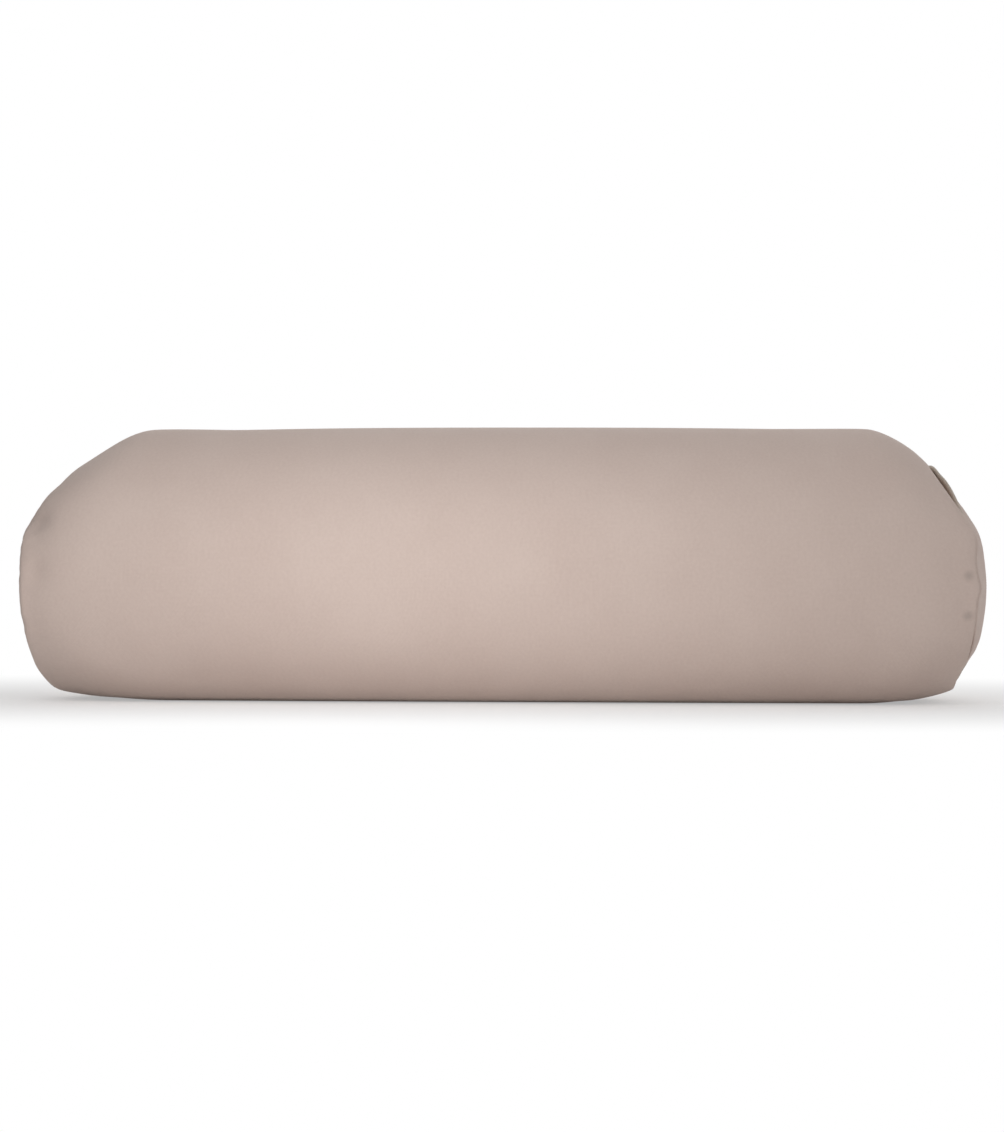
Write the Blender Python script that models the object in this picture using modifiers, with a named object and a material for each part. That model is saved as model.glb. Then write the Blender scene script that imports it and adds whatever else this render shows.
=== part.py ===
"""Round yoga bolster: a husk-filled cushion in a zipped cotton cover, with a webbing strap over one end.

Metres, +Z up. +X runs along the bolster towards the strap, and +Y is the back, where the zip is.
The bolster lies on the floor at z = 0, which presses its underside flat. Loose husks have settled, so the
top of each end has gone slack: the seam leans in there, and the strap stands off the end panel.
"""

import math
from collections import namedtuple

import bmesh
import bpy
from mathutils import Matrix, Vector

MM = 0.001
MERGE_DISTANCE = 0.002 * MM
FLAT_ANGLE = math.radians(0.5)
ANGLE_STEPS = 36
SACK_ANGLE_STEPS = 24

# The filled tube between its shoulders. It is a little fuller in the middle of its length. Its flat underside
# is hollow by a hair between four corners, so that it stands on these and doesn't rock.
HALF_WIDTH = 105.2 * MM
TOP = 189.2 * MM
WIDEST_Z = 95 * MM
FLOOR_PRESS = 4.2 * MM
STANDING_HALF_WIDTH = 23 * MM
UNDERSIDE_HOLLOW = 0.06 * MM
FULLNESS = 0.8 * MM
MIDDLE_SHARES = (0.5,)
TOP_ROUNDNESS = 2.0
BELLY_ROUNDNESS = 2.35

# The two ends. Each end's seam is a ring: seam_x is where it stands at mid height, and above fold_from, a
# share of the half height, it leans in by fold_slope for each unit of that share.
End = namedtuple(
    "End", "side seam_x half_width top bottom fold_from fold_slope foot_lean shoulder bulge grooved"
)
Shoulder = namedtuple("Shoulder", "top side foot")
RIGHT = End(1, 330 * MM, 101 * MM, 166 * MM, 9 * MM, 0.40, 57 * MM, 15.5 * MM,
            Shoulder(44 * MM, 55 * MM, 66 * MM), 0.4 * MM, True)
LEFT = End(-1, 324 * MM, 100 * MM, 160 * MM, 6.5 * MM, 0.46, 35 * MM, 10 * MM,
           Shoulder(58 * MM, 55 * MM, 88 * MM), 8 * MM, False)
FOLD_SOFTNESS = 0.07
FOOT_LEAN_POWER = 2.5
SHOULDER_STEPS = (0.0, 0.3, 0.56, 0.8, 1.0)
PANEL_SHARES = (0.84, 0.66, 0.44, 0.21)

# A seam in section, as (along X outwards, away from the axis) in millimetres from the seam ring. The tube
# rounds over into the crease, both cloths run on inside as a sewn allowance, and the strap lies between.
Seam = namedtuple("Seam", "tube panel panel_under_strap")
COVER_SEAM = Seam(((1.6, -1.2), (1.6, -4.0), (-5.0, -9.2)), ((-4.8, -9.5), (1.5, -5.2)),
                  ((-2.5, -13.4), (4.0, -8.3)))
SACK_SEAM = Seam(((1.2, -0.8), (1.2, -2.8), (-2.0, -5.3)), ((-1.8, -5.6), (1.4, -4.0)),
                 ((-1.8, -5.6), (1.4, -4.0)))
NO_SEAM = Seam((), (), ())
PANEL_PROUD = 2.4 * MM

# Each layer is the same form drawn in: in the tube, at the seam ring, along X at the ends and under the zip
Layer = namedtuple("Layer", "inset seam_inset setback zip_drop seam")
COVER = Layer(0.0, 0.0, 0.0, 0.0, COVER_SEAM)
SACK = Layer(2.9 * MM, 10.5 * MM, 9 * MM, 4.3 * MM, SACK_SEAM)
HUSKS = Layer(4.3 * MM, 18 * MM, 14 * MM, 5.8 * MM, NO_SEAM)
COVER_CLOTH = 1.2 * MM
PANEL_CLOTH = 1.0 * MM
SACK_CLOTH = 0.8 * MM
GAP = 0.3

# The strap's centre line in side view, (x, z) in millimetres, from inside the top seam to inside the bottom
STRAP_ROUTE = ((293.1, 154.2), (298.9, 158.8), (303.2, 161.0), (307.4, 158.2), (310.5, 152.8),
               (313.2, 146.0), (315.6, 139.0), (319.0, 131.0), (324.0, 122.0), (330.3, 112.5),
               (334.0, 100.5), (335.8, 86.0), (335.8, 72.0), (334.0, 57.5), (330.2, 43.5),
               (325.8, 31.0), (323.4, 23.4), (321.5, 18.1), (317.8, 15.7), (311.2, 20.6))
STRAP_WIDTH = 32 * MM
STRAP_THICKNESS = 2.4 * MM
STRAP_OUTER_X = 337.0 * MM
STRAP_MID_Z = 79 * MM
STRAP_CURVE = 4.6
STRAP_SEAT = 0.9 * MM
FINGER_ROOM = 16 * MM
FINGER_FROM_Z = 104 * MM
FINGER_FULL_Z = 142 * MM
FINGER_LAST_Z = 146 * MM
FINGER_END_Z = 160 * MM
GROOVE_FLAT = 20 * MM
GROOVE_EDGE = 78 * MM

# The zip lies in a flat strip at the back, tilted up from horizontal. Its own frame has X along the zip,
# Y down across it and Z out of the cover, and its sizes are in millimetres.
ZIP_TILT = math.radians(10)
ZIP_PLANE = 102.4 * MM
SLIT_HALF_LENGTH = 212
SLIT_HALF_WIDTH = 5.8
TAPE_HALF_LENGTH = 220
TAPE_EDGE = 15
TAPE_INNER = 0.9
TAPE_TOP = -1.5
TAPE_THICKNESS = 0.8
COIL_PITCH = 3.0
COIL_BOTTOM = -1.2
COIL_TOP = 0.5
COIL_START = -202
COIL_END = 199.5
SPINE_INNER = 1.1
SPINE_OUTER = 2.5
TOOTH_REACH = 0.5
TOOTH_ROOT = 0.5
TOOTH_TIP = 0.4
TOOTH_SLANT = 0.12
SLIDER_X = 192
SLIDER_HALF_LENGTH = 5
SPLAY = 1.6
SPLAY_FROM = SLIDER_X - 4.5
SPLAY_TO = SLIDER_X + 2.5
FLANGE_THICKNESS = 0.8
FLANGE_CLEAR = 0.3
FLANGE_SET_IN = 0.08
BLADE_BOTTOM = 0.8
BLADE_TOP = 1.9
LOWER_BLADE_TOP = -2.6
LOWER_BLADE_BOTTOM = -3.6
BRIDGE_TOP = 5.0
BRIDGE_BAR = 1.2
BRIDGE_HALF_WIDTH = 0.9
BRIDGE_HALF_LENGTH = 3.9
TAB_THICKNESS = 1.0
TAB_AXIS_HEIGHT = 2.85
TAB_LENGTH = 24
STOP_LENGTH = 3
STOP_TAPER = 0.12


def remove_everything():
    for thing in list(bpy.data.objects):
        bpy.data.objects.remove(thing, do_unlink=True)


def collection(name):
    made = bpy.data.collections.new(name)
    bpy.context.scene.collection.children.link(made)
    return made


def linear(channel):
    """An sRGB channel, 0 to 255, as Blender's linear value."""
    share = channel / 255
    return share / 12.92 if share <= 0.04045 else ((share + 0.055) / 1.055) ** 2.4


def material(name, colour, roughness, metallic=0.0):
    made = bpy.data.materials.new(name)
    made.use_nodes = True
    shader = made.node_tree.nodes["Principled BSDF"]
    red, green, blue = (int(colour[i : i + 2], 16) for i in (1, 3, 5))
    shader.inputs["Base Color"].default_value = (linear(red), linear(green), linear(blue), 1)
    shader.inputs["Roughness"].default_value = roughness
    shader.inputs["Metallic"].default_value = metallic
    made.diffuse_color = shader.inputs["Base Color"].default_value
    return made


def smooth_step(low, high, value):
    share = min(1.0, max(0.0, (value - low) / (high - low)))
    return share * share * (3 - 2 * share)


def soft_ramp(value, softness):
    """0 well below nought, value well above it, with a rounded corner between."""
    return (value + math.sqrt(value * value + softness * softness)) / 2


def signed_power(value, power):
    return math.copysign(abs(value) ** power, value)


def tube_point(angle, layer, fuller):
    """(y, z) of the filled tube at an angle from +Y. Its underside is flat where the floor presses it."""
    rises = math.sin(angle) >= 0
    roundness = TOP_ROUNDNESS if rises else BELLY_ROUNDNESS
    height = TOP - WIDEST_Z if rises else WIDEST_Z + FLOOR_PRESS
    y = (HALF_WIDTH - layer.inset + fuller) * signed_power(math.cos(angle), 2 / roundness)
    z = WIDEST_Z + (height - layer.inset + fuller) * signed_power(math.sin(angle), 2 / roundness)
    hollow = max(0.0, fuller / FULLNESS, 1 - (y / STANDING_HALF_WIDTH) ** 2)
    z = max(z, layer.inset + UNDERSIDE_HOLLOW * hollow)
    out = y * math.cos(ZIP_TILT) + (z - WIDEST_Z) * math.sin(ZIP_TILT)
    pressed = max(0.0, out - ZIP_PLANE + layer.zip_drop)
    return y - pressed * math.cos(ZIP_TILT), z - pressed * math.sin(ZIP_TILT)


def seam_lean(end, rise):
    """How far the end leans in at a height, given as a share of the seam ring's half height."""
    corner = soft_ramp(0 - end.fold_from, FOLD_SOFTNESS)
    folded = end.fold_slope * (soft_ramp(rise - end.fold_from, FOLD_SOFTNESS) - corner)
    foot = end.foot_lean * max(0.0, -rise) ** FOOT_LEAN_POWER
    return max(0.0, folded) + foot


def seam_centre_z(end):
    return (end.top + end.bottom) / 2


def panel_point(end, angle, share, layer):
    """A point of an end panel, share of the way from its middle to the seam ring."""
    half_height = (end.top - end.bottom) / 2 - layer.seam_inset
    y = share * (end.half_width - layer.seam_inset) * math.cos(angle)
    rise = share * math.sin(angle)
    z = seam_centre_z(end) + half_height * rise
    x = end.seam_x - layer.setback - seam_lean(end, rise) + end.bulge * (1 - share**2)
    if share < 1:
        x += PANEL_PROUD
    if end.grooved and share < 1:
        strap_inside = STRAP_OUTER_X - STRAP_THICKNESS - STRAP_CURVE * (z - STRAP_MID_Z) ** 2
        opens = smooth_step(FINGER_FROM_Z, FINGER_FULL_Z, z)
        closes = smooth_step(FINGER_LAST_Z, FINGER_END_Z, z)
        room = STRAP_SEAT + FINGER_ROOM * opens * (1 - closes)
        groove = strap_inside - room - layer.setback
        weight = (1 - smooth_step(GROOVE_FLAT, GROOVE_EDGE, abs(y))) * (1 - share**30)
        x += (groove - x) * weight
    return Vector((end.side * x, y, z))


def seam_rows(end, steps, layer, profile, under_strap):
    """Rings of points beside the seam ring, one for each (along, away) step of a profile in millimetres. The
    second profile takes over where the strap is sewn in."""
    rows = []
    for usual, strapped in zip(profile, under_strap):
        row = []
        for k in range(steps):
            angle = math.tau * k / steps
            ring = panel_point(end, angle, 1.0, layer)
            outwards = Vector((0, ring.y, ring.z - seam_centre_z(end))).normalized()
            share = smooth_step(GROOVE_FLAT, 2 * GROOVE_FLAT, abs(ring.y))
            along, away = (s + (u - s) * share for s, u in zip(strapped, usual))
            row.append(ring + Vector((end.side * along * MM, 0, 0)) + outwards * away * MM)
        rows.append(row)
    return rows


def shoulder_rows(end, steps, layer):
    """Rings from where the full tube ends to the seam ring, steeper at the slack top than at the foot."""
    rows = []
    for step in SHOULDER_STEPS:
        row = []
        for k in range(steps):
            angle = math.tau * k / steps
            rise = math.sin(angle)
            ring = panel_point(end, angle, 1.0, layer)
            other = end.shoulder.top if rise > 0 else end.shoulder.foot
            length = end.shoulder.side + (other - end.shoulder.side) * rise * rise
            power = 2.4 - (0.8 if rise > 0 else 0.4) * abs(rise)
            drawn_in = step**power
            y, z = tube_point(angle, layer, 0.0)
            x = abs(ring.x) - (length - layer.setback) * (1 - step)
            row.append(Vector((end.side * x, y + (ring.y - y) * drawn_in, z + (ring.z - z) * drawn_in)))
        rows.append(row)
    return rows


def middle_rows(left_row, right_row, layer):
    """Rings between the two shoulders, fullest halfway along."""
    rows = []
    for share in MIDDLE_SHARES:
        row = []
        for k, (left, right) in enumerate(zip(left_row, right_row)):
            fuller = FULLNESS * (1 - (2 * share - 1) ** 2)
            y, z = tube_point(math.tau * k / len(left_row), layer, fuller)
            row.append(Vector((left.x + (right.x - left.x) * share, y, z)))
        rows.append(row)
    return rows


def tube_rows(steps, layer):
    """All rings of a tube, from inside the left seam to inside the right one."""
    profile = layer.seam.tube
    left = shoulder_rows(LEFT, steps, layer) + seam_rows(LEFT, steps, layer, profile, profile)
    right = shoulder_rows(RIGHT, steps, layer) + seam_rows(RIGHT, steps, layer, profile, profile)
    return left[::-1] + middle_rows(left[0], right[0], layer) + right


def panel_rows(end, steps, layer):
    """Rings of an end panel, from inside the seam towards its middle."""
    profile = layer.seam.panel
    rows = seam_rows(end, steps, layer, profile, layer.seam.panel_under_strap if end.grooved else profile)
    for share in PANEL_SHARES:
        rows.append([panel_point(end, math.tau * k / steps, share, layer) for k in range(steps)])
    return rows


def loft(name, rows, cloth, look, parts, first_pole=None, last_pole=None, inside_out=False):
    """Skins rings of equal count into one surface, closed at a pole where one is given."""
    mesh = bpy.data.meshes.new(name)
    form = bmesh.new()
    rings = [[form.verts.new(point) for point in row] for row in rows]
    count = len(rows[0])
    for lower, upper in zip(rings, rings[1:]):
        for k in range(count):
            after = (k + 1) % count
            form.faces.new((lower[k], lower[after], upper[after], upper[k]))
    if last_pole is not None:
        pole = form.verts.new(last_pole)
        for k in range(count):
            form.faces.new((rings[-1][k], rings[-1][(k + 1) % count], pole))
    if first_pole is not None:
        pole = form.verts.new(first_pole)
        for k in range(count):
            form.faces.new((rings[0][(k + 1) % count], rings[0][k], pole))
    if inside_out:
        bmesh.ops.reverse_faces(form, faces=form.faces)
    form.to_mesh(mesh)
    form.free()
    mesh.materials.append(look)
    made = bpy.data.objects.new(name, mesh)
    parts.objects.link(made)
    mesh.shade_smooth()
    if cloth:
        thickness = made.modifiers.new("cloth", "SOLIDIFY")
        thickness.thickness = cloth
        thickness.offset = -1
    return made


def end_panel(name, end, steps, layer, cloth, look, parts):
    pole = panel_point(end, 0.0, 0.0, layer)
    rows = panel_rows(end, steps, layer)
    return loft(name, rows, cloth, look, parts, last_pole=pole, inside_out=end.side < 0)


def outline_mesh(name, loops, thickness):
    """A flat outline, with any holes, filled and given a thickness. All sizes are in millimetres."""
    curve = bpy.data.curves.new(name, "CURVE")
    curve.dimensions = "2D"
    curve.fill_mode = "BOTH"
    curve.extrude = thickness / 2
    for loop in loops:
        spline = curve.splines.new("POLY")
        spline.points.add(len(loop) - 1)
        for point, (x, y) in zip(spline.points, loop):
            point.co = (x, y, 0, 1)
        spline.use_cyclic_u = True
    holder = bpy.data.objects.new(name, curve)
    bpy.context.scene.collection.objects.link(holder)
    bpy.context.view_layer.update()
    graph = bpy.context.evaluated_depsgraph_get()
    mesh = bpy.data.meshes.new_from_object(holder.evaluated_get(graph))
    bpy.data.objects.remove(holder)
    mesh.transform(Matrix.Scale(MM, 4))
    form = bmesh.new()
    form.from_mesh(mesh)
    bmesh.ops.remove_doubles(form, verts=form.verts, dist=MERGE_DISTANCE)
    bmesh.ops.dissolve_limit(form, angle_limit=FLAT_ANGLE, verts=form.verts, edges=form.edges)
    form.to_mesh(mesh)
    form.free()
    return mesh


def place(name, mesh, look, group, parent=None, at=(0, 0, 0), turn=(0, 0, 0)):
    """Links a mesh as an object. at is in millimetres and turn in degrees, in the parent's frame."""
    made = bpy.data.objects.new(name, mesh)
    made.location = [value * MM for value in at]
    made.rotation_euler = [math.radians(value) for value in turn]
    made.parent = parent
    group.objects.link(made)
    if look is not None:
        mesh.materials.clear()
        mesh.materials.append(look)
    return made


def guide(made):
    """Marks an object as a cutter or as a piece that is joined into another."""
    made.hide_render = True
    made.display_type = "WIRE"
    return made


def boolean(target, other, operation):
    step = target.modifiers.new(other.name, "BOOLEAN")
    step.operation = operation
    step.object = other


def rectangle(low_x, high_x, low_y, high_y):
    return [(low_x, low_y), (high_x, low_y), (high_x, high_y), (low_x, high_y)]


def catmull_rom(a, b, c, d, t):
    """A value on the curve from b to c, t of the way."""
    square = 2 * a - 5 * b + 4 * c - d
    cube = 3 * b - a - 3 * c + d
    return 0.5 * (2 * b + (c - a) * t + square * t * t + cube * t**3)


def smooth_route(points, steps):
    """Points along a Catmull-Rom curve through the given ones."""
    route = []
    ends = [points[0]] + list(points) + [points[-1]]
    for before, start, stop, after in zip(ends, ends[1:], ends[2:], ends[3:]):
        for step in range(steps):
            t = step / steps
            route.append(tuple(catmull_rom(*corners, t) for corners in zip(before, start, stop, after)))
    route.append(points[-1])
    return route


def ribbon_outline(route, thickness):
    """The closed side outline of a ribbon that follows a route."""
    outer, inner = [], []
    for i, (x, z) in enumerate(route):
        x0, z0 = route[max(0, i - 1)]
        x1, z1 = route[min(len(route) - 1, i + 1)]
        length = math.hypot(x1 - x0, z1 - z0)
        across = ((z1 - z0) / length * thickness / 2, (x0 - x1) / length * thickness / 2)
        outer.append((x + across[0], z + across[1]))
        inner.append((x - across[0], z - across[1]))
    return outer + inner[::-1]


def handle_strap(look, parts):
    """The webbing strap. Its ends lie between the two cloths of the seam, where they are sewn in."""
    route = smooth_route(STRAP_ROUTE, 2)
    outline = ribbon_outline(route, STRAP_THICKNESS / MM)
    mesh = outline_mesh("handle_strap", [outline], STRAP_WIDTH / MM)
    place("handle_strap", mesh, look, parts, turn=(90, 0, 0))


def splay(x):
    """How far each row of the zip has parted at a place along it."""
    return SPLAY * smooth_step(SPLAY_FROM, SPLAY_TO, x)


def splay_places(low, high):
    """Places along the zip where an edge needs a point: its two ends, and steps through the slider."""
    steps = [SPLAY_FROM + (SPLAY_TO - SPLAY_FROM) * i / 7 for i in range(8)]
    return [low] + [x for x in steps if low < x < high] + [high]


def zip_frame():
    made = bpy.data.objects.new("zip frame", None)
    bpy.context.scene.collection.objects.link(made)
    made.location = (0, ZIP_PLANE * math.cos(ZIP_TILT), WIDEST_Z + ZIP_PLANE * math.sin(ZIP_TILT))
    made.rotation_euler = (ZIP_TILT - math.pi / 2, 0, 0)
    return made


def tape(name, side, look, parts, frame):
    """One woven tape: its inner edge follows its row of teeth, its outer edge is sewn behind the cover."""
    places = splay_places(-TAPE_HALF_LENGTH, TAPE_HALF_LENGTH)
    inner = [(x, side * (TAPE_INNER + splay(x))) for x in places]
    outer = [(TAPE_HALF_LENGTH, side * TAPE_EDGE), (-TAPE_HALF_LENGTH, side * TAPE_EDGE)]
    mesh = outline_mesh(name, [inner + outer], TAPE_THICKNESS)
    place(name, mesh, look, parts, frame, at=(0, 0, TAPE_TOP - TAPE_THICKNESS / 2))


def coil(name, side, offset, look, parts, frame):
    """One row of teeth on its spine. The two rows are half a pitch apart, so each tooth sits in a gap. A row
    is one wound filament, so each tooth's root slants from one side to the other."""
    outline = []
    count = int((COIL_END - COIL_START - offset) / COIL_PITCH)
    for i in range(count):
        x = COIL_START + offset + COIL_PITCH * (i + 0.5)
        parted = splay(x)
        root, tip = SPINE_INNER + parted, parted - TOOTH_REACH
        outline += [(x - TOOTH_ROOT, side * root), (x - TOOTH_TIP, side * tip),
                    (x + TOOTH_TIP, side * tip), (x + TOOTH_ROOT, side * (root - TOOTH_SLANT))]
    last = COIL_START + offset + COIL_PITCH * count
    first = COIL_START + offset
    outline.append((last, side * (SPINE_INNER + splay(last))))
    outline += [(x, side * (SPINE_OUTER + splay(x))) for x in reversed(splay_places(first, last))]
    outline.append((first, side * SPINE_INNER))
    mesh = outline_mesh(name, [outline], COIL_TOP - COIL_BOTTOM)
    place(name, mesh, look, parts, frame, at=(0, 0, (COIL_TOP + COIL_BOTTOM) / 2))


def slider_edge(side, inset):
    """A long edge of the slider from rear to nose, in its own frame: narrow over the closed teeth, wide at
    the nose, where the rows part."""
    low, high = SLIDER_X - SLIDER_HALF_LENGTH, SLIDER_X + SLIDER_HALF_LENGTH
    wide = SPINE_OUTER + FLANGE_CLEAR + FLANGE_THICKNESS - inset
    return [(x - SLIDER_X, side * (wide + splay(x))) for x in splay_places(low, high)]


def slider_plate_outline():
    """The shield shape of both plates: its rear corners are cut, and its nose is notched and rounded."""
    upper = slider_edge(1, 0)[1:]
    lower = slider_edge(-1, 0)[:0:-1]
    rear, nose = -SLIDER_HALF_LENGTH, SLIDER_HALF_LENGTH
    upper[-1] = (nose - 1.4, upper[-1][1])
    lower[0] = (nose - 1.4, lower[0][1])
    nose_side = [(nose, 3.4), (nose - 0.2, 2.2), (nose - 1.0, 1.2), (nose - 1.0, -1.2), (nose - 0.2, -2.2),
                 (nose, -3.4)]
    rear_side = [(rear, lower[-1][1] + 0.6), (rear, upper[0][1] - 0.6)]
    return upper + nose_side + lower + rear_side


def zip_slider(look, parts, cutters, frame):
    """The slider: two plates held apart by the wedge at its nose, flanges that hold the rows together, and
    the bridge that carries the tab."""
    plate = outline_mesh("zip_slider", [slider_plate_outline()], BLADE_TOP - BLADE_BOTTOM)
    body = place("zip_slider", plate, look, parts, frame, at=(SLIDER_X, 0, (BLADE_TOP + BLADE_BOTTOM) / 2))
    middle = (BLADE_TOP + BLADE_BOTTOM) / 2
    lower_mesh = outline_mesh("lower plate", [slider_plate_outline()], LOWER_BLADE_TOP - LOWER_BLADE_BOTTOM)
    lower_z = (LOWER_BLADE_TOP + LOWER_BLADE_BOTTOM) / 2 - middle
    joined = [place("lower plate", lower_mesh, None, cutters, body, at=(0, 0, lower_z))]
    flange_height = BLADE_BOTTOM + 0.5 - COIL_BOTTOM
    for side in (1, -1):
        edge = slider_edge(side, FLANGE_SET_IN)[1:-1]
        inner = slider_edge(side, FLANGE_THICKNESS)[1:-1][::-1]
        mesh = outline_mesh("flange", [edge + inner], flange_height)
        flange_z = COIL_BOTTOM + flange_height / 2 - middle
        joined.append(place("flange", mesh, None, cutters, body, at=(0, 0, flange_z)))
    wedge = [(0.6, 0), (1.6, 0.42), (2.6, 0.6), (3.8, 0.6), (3.8, -0.6), (2.6, -0.6), (1.6, -0.42)]
    wedge_height = BLADE_BOTTOM - LOWER_BLADE_TOP + 1.0
    wedge_z = (BLADE_BOTTOM + LOWER_BLADE_TOP) / 2 - middle
    joined.append(place("wedge", outline_mesh("wedge", [wedge], wedge_height), None, cutters, body,
                        at=(0, 0, wedge_z)))
    outer_x, inner_x = BRIDGE_HALF_LENGTH, BRIDGE_HALF_LENGTH - BRIDGE_BAR
    foot, under, top = BLADE_TOP - 0.4, BRIDGE_TOP - BRIDGE_BAR, BRIDGE_TOP
    arch = [(-outer_x, foot), (-inner_x, foot), (-inner_x, under - 0.5), (-inner_x + 0.5, under),
            (inner_x - 0.5, under), (inner_x, under - 0.5), (inner_x, foot), (outer_x, foot),
            (outer_x, top - 1), (outer_x - 1, top), (-outer_x + 1, top), (-outer_x, top - 1)]
    bridge = outline_mesh("bridge", [arch], 2 * BRIDGE_HALF_WIDTH)
    joined.append(place("bridge", bridge, None, cutters, body, at=(0, 0, -middle), turn=(90, 0, 0)))
    for piece in joined:
        boolean(body, guide(piece), "UNION")


def zip_pull_tab(look, parts, frame):
    """The tab, lying flat along the closed zip. The cross bar at its eye turns under the slider's bridge."""
    half_bar = TAB_THICKNESS / 2
    end = -TAB_LENGTH
    outline = [(half_bar, -2.8), (half_bar, 2.8), (-6.6, 2.8), (-8.4, 2.0), (-13.0, 2.4), (end + 2.6, 3.4),
               (end + 0.8, 2.8), (end, 1.4), (end, -1.4), (end + 0.8, -2.8), (end + 2.6, -3.4), (-13.0, -2.4),
               (-8.4, -2.0), (-6.6, -2.8)]
    eye = rectangle(-5.1, -half_bar, -1.7, 1.7)
    thumb_hole = rectangle(end + 2.6, end + 6.6, -1.5, 1.5)
    mesh = outline_mesh("zip_pull_tab", [outline, eye, thumb_hole], TAB_THICKNESS)
    place("zip_pull_tab", mesh, look, parts, frame, at=(SLIDER_X, 0, TAB_AXIS_HEIGHT))


def zip_stops(look, parts, frame):
    """Clips bent round the tapes' inner edges: one on each row past the slider, and one across both rows."""
    across_zip = Matrix(((0, 0, 1, 0), (1, 0, 0, 0), (0, 1, 0, 0), (0, 0, 0, 1)))
    upper, top = COIL_BOTTOM, COIL_TOP - 0.1
    under, bottom = LOWER_BLADE_TOP, LOWER_BLADE_BOTTOM + 0.2
    edge = TAPE_INNER + SPLAY
    for name, side in (("zip_top_stop_upper", -1), ("zip_top_stop_lower", 1)):
        tip = edge + 1.7
        clip = [(edge - 1.1, bottom), (tip, bottom), (tip, under - STOP_TAPER), (edge - 0.3, under),
                (edge - 0.3, upper), (tip, upper + STOP_TAPER), (tip, top), (edge - 1.1, top)]
        made = place(name, outline_mesh(name, [[(side * y, z) for y, z in clip]], STOP_LENGTH), look, parts)
        made.parent = frame
        x = COIL_END + GAP + STOP_LENGTH / 2
        made.matrix_local = Matrix.Translation((x * MM, 0, 0)) @ across_zip
    web = TAPE_INNER - 0.3
    half = SPINE_OUTER
    clip = [(-half, bottom), (half, bottom), (half, under - STOP_TAPER), (web, under), (web, upper),
            (half, upper + STOP_TAPER), (half, top), (-half, top), (-half, upper + STOP_TAPER), (-web, upper),
            (-web, under), (-half, under - STOP_TAPER)]
    made = place("zip_bottom_stop", outline_mesh("zip_bottom_stop", [clip], STOP_LENGTH), look, parts)
    made.parent = frame
    x = COIL_START - GAP - STOP_LENGTH / 2
    made.matrix_local = Matrix.Translation((x * MM, 0, 0)) @ across_zip


def slit(cover, cutters, frame):
    """Opens the cover over the teeth."""
    outline = rectangle(-SLIT_HALF_LENGTH, SLIT_HALF_LENGTH, -SLIT_HALF_WIDTH, SLIT_HALF_WIDTH)
    cutter = place("slit", outline_mesh("slit", [outline], 8), None, cutters, frame)
    boolean(cover, guide(cutter), "DIFFERENCE")


def cover(looks, parts, cutters, frame):
    cotton = looks["cotton"]
    body = loft("cover_body", tube_rows(ANGLE_STEPS, COVER), COVER_CLOTH, cotton, parts)
    slit(body, cutters, frame)
    end_panel("cover_end_right", RIGHT, ANGLE_STEPS, COVER, PANEL_CLOTH, cotton, parts)
    end_panel("cover_end_left", LEFT, ANGLE_STEPS, COVER, PANEL_CLOTH, cotton, parts)
    handle_strap(looks["webbing"], parts)


def inner_sack(look, parts):
    steps = SACK_ANGLE_STEPS
    loft("inner_sack_body", tube_rows(steps, SACK), SACK_CLOTH, look, parts)
    end_panel("inner_sack_end_right", RIGHT, steps, SACK, SACK_CLOTH, look, parts)
    end_panel("inner_sack_end_left", LEFT, steps, SACK, SACK_CLOTH, look, parts)


def filling(look, parts):
    """The body of husks, closed at both ends."""
    left = panel_rows(LEFT, SACK_ANGLE_STEPS, HUSKS)
    right = panel_rows(RIGHT, SACK_ANGLE_STEPS, HUSKS)
    rows = left[::-1] + tube_rows(SACK_ANGLE_STEPS, HUSKS) + right
    first = panel_point(LEFT, 0.0, 0.0, HUSKS)
    last = panel_point(RIGHT, 0.0, 0.0, HUSKS)
    loft("filling", rows, 0, look, parts, first_pole=first, last_pole=last)


def zip_chain(looks, parts, cutters, frame):
    tape("zip_tape_upper", -1, looks["tape"], parts, frame)
    tape("zip_tape_lower", 1, looks["tape"], parts, frame)
    coil("zip_coil_upper", -1, 0.0, looks["nylon"], parts, frame)
    coil("zip_coil_lower", 1, COIL_PITCH / 2, looks["nylon"], parts, frame)
    zip_slider(looks["steel"], parts, cutters, frame)
    zip_pull_tab(looks["steel"], parts, frame)
    zip_stops(looks["steel"], parts, frame)


def build():
    remove_everything()
    parts = collection("yoga bolster")
    cutters = collection("cutters")
    looks = {
        "cotton": material("cover cotton", "#C9B4A8", 0.92),
        "webbing": material("strap webbing", "#A89C8E", 0.85),
        "tape": material("zip tape", "#BBA698", 0.9),
        "nylon": material("zip nylon", "#B5A193", 0.45),
        "steel": material("zip steel", "#B9B4AE", 0.35, 1.0),
        "sack": material("inner sack cotton", "#E9E2D3", 0.95),
        "husks": material("grain husks", "#B98E55", 0.9),
    }
    frame = zip_frame()
    cover(looks, parts, cutters, frame)
    zip_chain(looks, parts, cutters, frame)
    inner_sack(looks["sack"], parts)
    filling(looks["husks"], parts)


build()
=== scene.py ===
"""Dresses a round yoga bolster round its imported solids: husks, sacking, cotton cover, strap and zip.

Metres, +Z up, in the frame of the solids. +X runs along the bolster towards the strap, and +Y is the
back, where the zip is. The bolster lies on the floor at z = 0.
"""

import math
from collections import namedtuple

import bpy
import numpy as np
from mathutils import Matrix, Vector


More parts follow.
